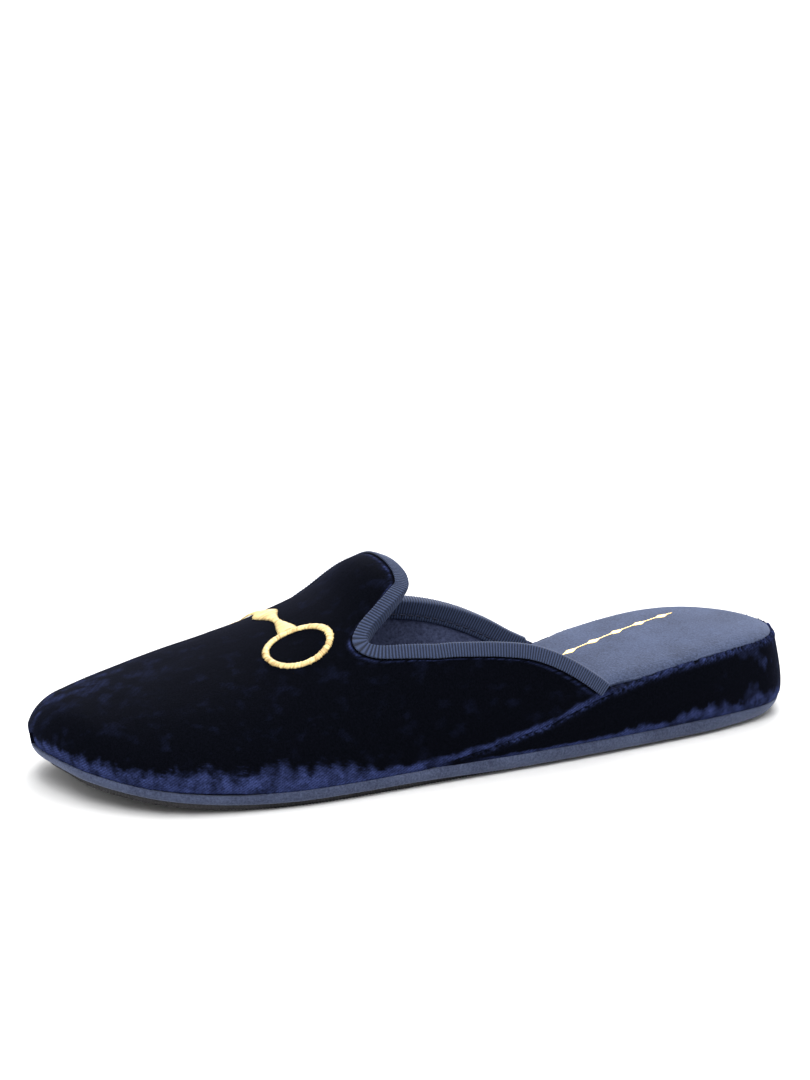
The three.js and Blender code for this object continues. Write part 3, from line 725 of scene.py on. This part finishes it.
def ring(side, name, node):
    count = 200
    a = np.linspace(0, 2 * np.pi, count, endpoint=False)
    width = 1.2
    slant = 0.05
    ends = []
    for out, turn in ((-width, -slant), (width, slant)):
        along, up = (RING_ALONG + out) * np.cos(a + turn), (RING_ACROSS + out) * np.sin(a + turn)
        ends.append(vamp_step(side, along, up))
    bow, base = (THREAD_BOW, 0.2) if side > 0 else (0.32, 0.05)
    return satin(name, [node], ends[0], ends[1], bow, THREAD, 0.12, base)


def bar():
    count = 84
    reach = np.array([RING_ACROSS + 0.9])
    start, end = (float(vamp_step(side, np.zeros(1), reach)[1][0]) for side in (1, -1))
    angle = np.linspace(start, end, count)
    u = np.linspace(0, 1, count)
    f = np.abs(np.cos(2 * np.pi * u)) ** 2.2
    half = 1.25 + np.where(np.abs(u - 0.5) < 0.25, 2.8, 1.95) * f
    tau = np.full(count, tau_at(RING_AT - 0.5))
    along, _, _ = upper_frame(tau, angle)
    step = half / np.linalg.norm(along, axis=1)
    return satin("gold_bar", ["embroidered_bar"], (tau - step, angle), (tau + step, angle),
                 THREAD_BOW, THREAD, 0.1)


# ---- the sole unit ----
def sock_top(s, w):
    return feather(s) + rise(s) + crown(s) * (1 - w * w)


def sole_grid(rows, cols, inset, height):
    """Grid across the sole: inset is a function of s, height of (s, side)."""
    tau = np.linspace(0, 1, rows)
    tau = 0.5 - 0.5 * np.cos(np.pi * tau)
    s = outline(tau / 2)[:, 0]
    a, b = inset_outline(tau / 2, inset(s)), inset_outline(1 - tau / 2, inset(s))
    b[0] = a[0]
    w = np.sin(np.linspace(-np.pi / 2, np.pi / 2, cols))
    xy = b[:, None] + (a - b)[:, None] * ((w + 1) / 2)[None, :, None]
    z = height(xy[..., 0], np.broadcast_to(w, xy.shape[:2]))
    return np.concatenate([xy, z[..., None]], -1)


def rim_distance(points, inset):
    """Distance of grid points from the grid's own rim, in millimetres."""
    t = np.linspace(0, 1, 700, endpoint=False)
    s = outline(t)[:, 0]
    rim = inset_outline(t, inset(s))
    flat = points[..., :2].reshape(-1, 2)
    best = np.full(len(flat), 1e9)
    for start in range(0, len(flat), 4000):
        part = flat[start:start + 4000]
        best[start:start + 4000] = np.sqrt(((part[:, None] - rim[None]) ** 2).sum(-1).min(1))
    return best.reshape(points.shape[:-1])


PAD, PAD_ROLL = 1.9, 6.5    # the foam makes the sock swell this much, over this far from its edge
SOCK_SINK = 0.45            # and its turned edge lies this much lower


def sock():
    """Microsuede over foam: it is crowned, and its edge turns down all round."""
    top = sole_grid(260, 90, inner_inset, sock_top)
    rim = rim_distance(top, inner_inset)
    open_heel = 1 - smooth(top[..., 0], 70, 100)
    top[..., 2] += open_heel * PAD * np.sqrt(1 - (1 - np.clip(rim / PAD_ROLL, 0, 1)) ** 2) - SOCK_SINK
    top[..., 2] += 0.12 * field(top, 18, 2, 2.0) * smooth(rim, 2, 8)
    bottom = sole_grid(260, 90, inner_inset, lambda s, w: sock_top(s, w) - SOCK)
    points, faces = shell(top, bottom)
    obj = make("microsuede_sock", points, faces, SOCK_LOOK, ["sock_lining"])
    return obj


def cushion():
    inset = lambda s: inner_inset(s) + 0.1
    height = lambda s, w: sock_top(s, w) - SOCK - CLEAR
    top = sole_grid(160, 40, inset, height)
    rim = rim_distance(top, inset)
    top[..., 2] -= 0.7 * (1 - smooth(rim, 0, 2.5)) ** 2
    floor = lambda s, w: feather(s) + rise(s) - SOCK - CUSHION - CLEAR
    points, faces = shell(top, sole_grid(160, 40, inset, floor))
    foam = hidden("cushion_foam", (0.03, 0.034, 0.05), (0.055, 0.06, 0.085), 0.9)
    return make("foam_cushion", points, faces, foam, ["insole_cushion"])


def sole_band():
    """Microsuede band: a soft roll round the edge that hangs lower at the heel and turns in under it."""
    t = np.linspace(0, 1, 720, endpoint=False)
    s = outline(t)[:, 0]
    low = lambda x: spring(x) + OUTSOLE - 0.3 - 0.9 * heel(x)
    high = lambda x: np.minimum(np.maximum(BAND_TOP, spring(x) + 4.9), feather(x) - CLEAR - 0.1)
    here = np.concatenate([outline(t), low(s)[:, None]], 1)
    soft = 0.14 * field(here, 7, 2, 4.0)
    over = 0.3 + 1.3 * toe(s) + 0.7 * back(s)
    under = 0.3 + 3 * toe(s) + 0.7 * heel(s) + 2.8 * back(s)
    core, foot = core_inset(s) - CLEAR, outsole_inset(s) - CLEAR
    profile = [(core, spring(s) + OUTSOLE), (core, None, 1), (over + 0.5, None, 1)]
    for f in np.linspace(0.97, 0.03, 11):
        swell = (0.7 + soft) * math.sin(math.pi * f) ** 0.55
        profile.append((under + (over - under) * f - swell, None, f))
    profile += [(under + 0.35, None, 0), (foot, None, 0), (foot, spring(s) + OUTSOLE)]
    rings = []
    for inset, z, *f in profile:
        edge = inset_outline(t, inset)
        if f:
            z = low(edge[:, 0]) * (1 - f[0]) + high(edge[:, 0]) * f[0]
        rings.append(np.concatenate([edge, z[:, None]], 1))
    points, faces = tube(np.stack(rings, 1), closed=True)
    return make("microsuede_band", points, all_triangles(faces), BAND_LOOK, ["sole_band"])


def heel_wrap():
    """Velvet round the wedge: it swells out, rolls in at both seams and ends in a fuzzy lip at the sock."""
    first = float(tau_at(WRAP_END)) / 2
    t = np.linspace(first, 1 - first, 760)
    s = outline(t)[:, 0]
    low = np.full_like(s, BAND_TOP + CLEAR)
    lip = smooth(76 - s, 0, 12)
    high = feather(s) - CLEAR + lip * 0.2
    size = np.minimum(1, (high - low) / 12)
    rows = 48
    f = np.linspace(0, 1, rows)[:, None]
    here = np.stack([np.broadcast_to(v, (rows, len(t))) for v in (*outline(t).T, low)], -1).copy()
    here[..., 2] = low + (high - low) * f
    top, bottom = (high - low) * (1 - f), (high - low) * f
    under, over = 0.3 + 0.7 * back(s), 0.3 + (0.7 + 1.9 * back(s)) * size
    belly = -1.3 * np.sin(np.pi * f ** 0.62) ** 0.8 * size
    tufts, soft = field(here, 0.9, 2, 9.0), field(here * [1, 1, 0.6], 16, 2, 6.0)
    turn = 0.45 * (1 - smooth(top, 0, 1.2)) + 0.35 * (1 - smooth(bottom, 0, 1.4))
    fuzz = -0.5 * np.exp(-((top - 0.7) / 0.8) ** 2) * (0.35 + tufts)
    inset = under + (over - under) * f + belly + turn + fuzz - 0.3 * soft * size * smooth(top, 0, 4)
    rise_up = 0.7 * np.exp(-(top / 0.7) ** 2) * (0.2 + tufts) * lip - SKIRT * (1 - smooth(bottom, 0, 0.5))
    ends = 1 - smooth(s, WRAP_END - 7, WRAP_END - 0.5)
    inset += 0.7 * (1 - ends)
    core = core_inset(s) - CLEAR
    outer = [(inset[r], here[r, :, 2] + rise_up[r]) for r in range(rows)]
    inner = [(core, here[r, :, 2]) for r in range(rows)]
    near_sock = 1 - smooth(s, 79, 88)
    shelf = core * (1 - near_sock) + (inner_inset(s) + 0.7) * near_sock
    for g in (0.3, 0.6, 0.85, 1.0):
        reach = inset[-1] * (1 - g) + np.maximum(shelf, inset[-1]) * g
        outer.append((reach, high + rise_up[-1] * (1 - g) + 0.15 * near_sock * g))
        inner.append((np.maximum(reach, core), high - 0.35))
    outer, inner = (np.stack([np.concatenate([inset_outline(t, i), z[:, None]], 1) for i, z in side])
                    for side in (outer, inner))
    # Painted sheen: the wrap is painted lighter along its lower edge, more so towards the back, and along its
    # fuzzy lip at the sock; it is also lighter in random patches at the back and at its forward end
    streak = field(here * [1, 1, 0.35], 4.5, 4, 8.0) + 0.4 * tufts
    border = np.clip((1.2 + 3.8 * (1 - smooth(s, 30, 95))) * (1 + 0.6 * streak), 0.4, 9)
    painted_sheen_and_pile = 0.8 * (1 - smooth(bottom, 0.35 * border, border)) * smooth(size, 0.15, 0.6)
    painted_sheen_and_pile = np.maximum(painted_sheen_and_pile, 0.85 * np.exp(-((top - 0.4) / 1.0) ** 2) * (0.5 + tufts) * smooth(size, 0.1, 0.5))
    painted_sheen_and_pile = np.maximum(painted_sheen_and_pile, 0.35 * smooth(field(here, 8, 3, 2.0), 0.1, 0.5) * back(s))
    painted_sheen_and_pile = np.maximum(painted_sheen_and_pile, 0.7 * (1 - ends))
    painted_sheen_and_pile = np.concatenate([painted_sheen_and_pile, np.repeat(painted_sheen_and_pile[-1:] * 0.6, 4, axis=0)])
    points, faces = shell(outer, inner)
    return make("velvet_wrap", points, faces, VELVET_LOOK, ["heel_wrap"],
                data={"painted_sheen_and_pile": np.concatenate([np.clip(painted_sheen_and_pile, 0, 1).ravel(), np.zeros(painted_sheen_and_pile.size)])})


def outsole():
    """Rubber sole: fine upright ribs round its edge and a tread of shallow cross grooves under it."""
    t = np.linspace(0, 1, 3000, endpoint=False)
    p = outline(t)
    run = np.concatenate([[0], np.cumsum(np.linalg.norm(np.diff(p, axis=0), axis=1))])
    total = run[-1] + np.linalg.norm(p[0] - p[-1])
    per_rib = 5
    rows = int(total / 2 / SOLE_RIB) * per_rib + 1
    t = np.interp(np.linspace(0, total / 2, rows), run, t)
    t[-1] = 0.5
    s = outline(t)[:, 0]
    wave = 0.22 * (0.5 + 0.5 * np.cos(2 * np.pi * np.arange(rows) / per_rib))
    cols = np.concatenate([[-1], np.linspace(-0.985, 0.985, 30), [1]])

    def face(edge_inset, height):
        a, b = inset_outline(t, edge_inset), inset_outline(1 - t, edge_inset)
        b[0], b[-1] = a[0], a[-1]
        xy = b[:, None] + (a - b)[:, None] * ((cols + 1) / 2)[None, :, None]
        return np.concatenate([xy, height(xy)[..., None]], -1)

    def tread(xy):
        bowed = xy[..., 0] + TREAD_BOW * xy[..., 1] ** 2
        groove = smooth(np.cos(2 * np.pi * bowed / TREAD_PITCH), 0.55, 0.8)
        middle = smooth(1 - np.abs(cols), 0.08, 0.14)[None, :]
        return spring(xy[..., 0]) + TREAD_DEPTH * groove * middle

    upper = face(outsole_inset(s) + wave, lambda xy: spring(xy[..., 0]) + OUTSOLE)
    lower = face(outsole_inset(s) + wave + 0.25, tread)
    points, faces = shell(upper, lower)
    return make("rubber_outsole", points, faces, RUBBER_LOOK, ["outsole"])


def heel_mark():
    """Gold foil on the heel: a thin rule with five lozenges, lying on the sock."""
    count = 161
    f = np.linspace(0, 1, count)
    base = MARK_FROM + (MARK_TO - MARK_FROM) * f[:, None]
    run = (MARK_TO - MARK_FROM) / np.linalg.norm(MARK_TO - MARK_FROM)
    length = np.linalg.norm(MARK_TO - MARK_FROM)
    near = np.abs(f * 5 - 0.5 - np.floor(f * 5)) * 2
    half = np.maximum(0.28, 1.75 * (1 - np.abs(near) * length / 5 / 2 / 3.2))
    half *= np.minimum(1, np.minimum(f, 1 - f) * 60 + 0.05)
    side = np.array([-run[1], run[0]])
    cols = np.linspace(-1, 1, 9)
    xy = base[:, None] + side * (half[:, None] * cols)[..., None]
    s = xy[..., 0]
    tau = tau_at(s)
    a, b = inset_outline(tau / 2, inner_inset(s))[..., 1], inset_outline(1 - tau / 2, inner_inset(s))[..., 1]
    w = 2 * (xy[..., 1] - b) / (a - b) - 1
    z = sock_top(s, w) + PAD * (1 - smooth(s, 70, 100)) - SOCK_SINK
    grid = np.concatenate([xy, z[..., None]], -1)
    worn = 0.02 * field(grid, 0.7, 2, 1.0)
    upper, lower = grid.copy(), grid.copy()
    upper[..., 2] += 0.2 - 0.08 * np.abs(cols) ** 6 + worn
    lower[..., 2] -= 0.25
    points, faces = shell(upper, lower)
    return make("foil_ornament", points, faces, FOIL_LOOK, ["heel_sock_ornament"])


# ---- CAD pieces that keep their shape ----
def dress(node, material):
    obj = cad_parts[node]
    obj.data.materials.clear()
    obj.data.materials.append(material)


dress("midsole_wedge", hidden("wedge_foam", (0.02, 0.022, 0.03), (0.04, 0.043, 0.055), 1.1))
dress("insole_board", hidden("fibreboard", (0.36, 0.27, 0.16), (0.52, 0.42, 0.28), 1.8))
dress("toe_puff", hidden("puff_fibre", (0.05, 0.045, 0.04), (0.09, 0.085, 0.075), 1.4))
dress("upper_backing", hidden("interlining", (0.008, 0.01, 0.02), (0.018, 0.021, 0.036), 0.8))

upper_velvet()
upper_lining()
tape()
stitching()
ring(1, "gold_ring_outer", "embroidered_outer_ring")
ring(-1, "gold_ring_inner", "embroidered_inner_ring")
bar()
sock()
cushion()
sole_band()
heel_wrap()
outsole()
heel_mark()


# ---- stage, light and camera ----
def stage():
    mesh = bpy.data.meshes.new("floor")
    r = 9.0
    mesh.from_pydata([(-r, -r, 0), (r, -r, 0), (r, r, 0), (-r, r, 0)], [], [(0, 1, 2, 3)])
    floor = bpy.data.objects.new("floor", mesh)
    bpy.context.scene.collection.objects.link(floor)
    p = Paint("pale_floor", Roughness=0.9, Specular_IOR_Level=0.1)
    p.colour(p.mix(p.noise(900, 2, 0.5), (0.69, 0.69, 0.69), (0.71, 0.71, 0.71)))
    floor.data.materials.append(p.material)


def light(name, place, size, power, aim=(0, 0, 0.03)):
    lamp = bpy.data.lights.new(name, "AREA")
    lamp.shape, lamp.size, lamp.energy = "DISK", size, power
    obj = bpy.data.objects.new(name, lamp)
    obj.location = place
    obj.rotation_mode = "QUATERNION"
    obj.rotation_quaternion = (Vector(aim) - Vector(place)).to_track_quat("-Z", "Y")
    bpy.context.scene.collection.objects.link(obj)


def camera():
    yaw, tilt, distance = math.radians(24.04), math.radians(17.21), 1150.0
    raised, turned = math.radians(3.26065), math.radians(-0.25875)   # aimed above and beside the slipper
    back = np.array([math.sin(yaw) * math.cos(tilt), math.cos(yaw) * math.cos(tilt), math.sin(tilt)])
    target = np.array([LENGTH / 2, 0, 0])
    place = (target + back * distance - SHIFT) * MM
    cam = bpy.data.objects.new("camera", bpy.data.cameras.new("camera"))
    bpy.context.scene.collection.objects.link(cam)
    cam.location = place
    cam.data.sensor_width = 36
    cam.data.lens = 118.833
    cam.data.clip_start, cam.data.clip_end = 0.05, 60
    right = np.array([-math.cos(yaw), math.sin(yaw), 0])
    ahead = -back
    above = np.cross(right, ahead)
    ahead = ahead * math.cos(raised) + above * math.sin(raised)
    ahead = ahead * math.cos(turned) + right * math.sin(turned)
    cam.rotation_mode = "QUATERNION"
    cam.rotation_quaternion = Vector(ahead).to_track_quat("-Z", "Y")
    bpy.context.scene.camera = cam


stage()
light("key", (0.5, 0.9, 1.3), 0.9, 16)
light("top", (-0.1, 0.0, 1.5), 1.4, 14)
light("rim", (-0.7, -0.9, 0.9), 0.8, 9)
light("backdrop", (-1.6, -3.9, 2.4), 3.0, 180, (-1.6, -3.9, 0))
world = bpy.data.worlds.new("studio")
world.use_nodes = True
world.node_tree.nodes["Background"].inputs["Color"].default_value = (1, 1, 1, 1)
world.node_tree.nodes["Background"].inputs["Strength"].default_value = 0.95
bpy.context.scene.world = world
camera()
bpy.context.scene.view_settings.view_transform = "Standard"
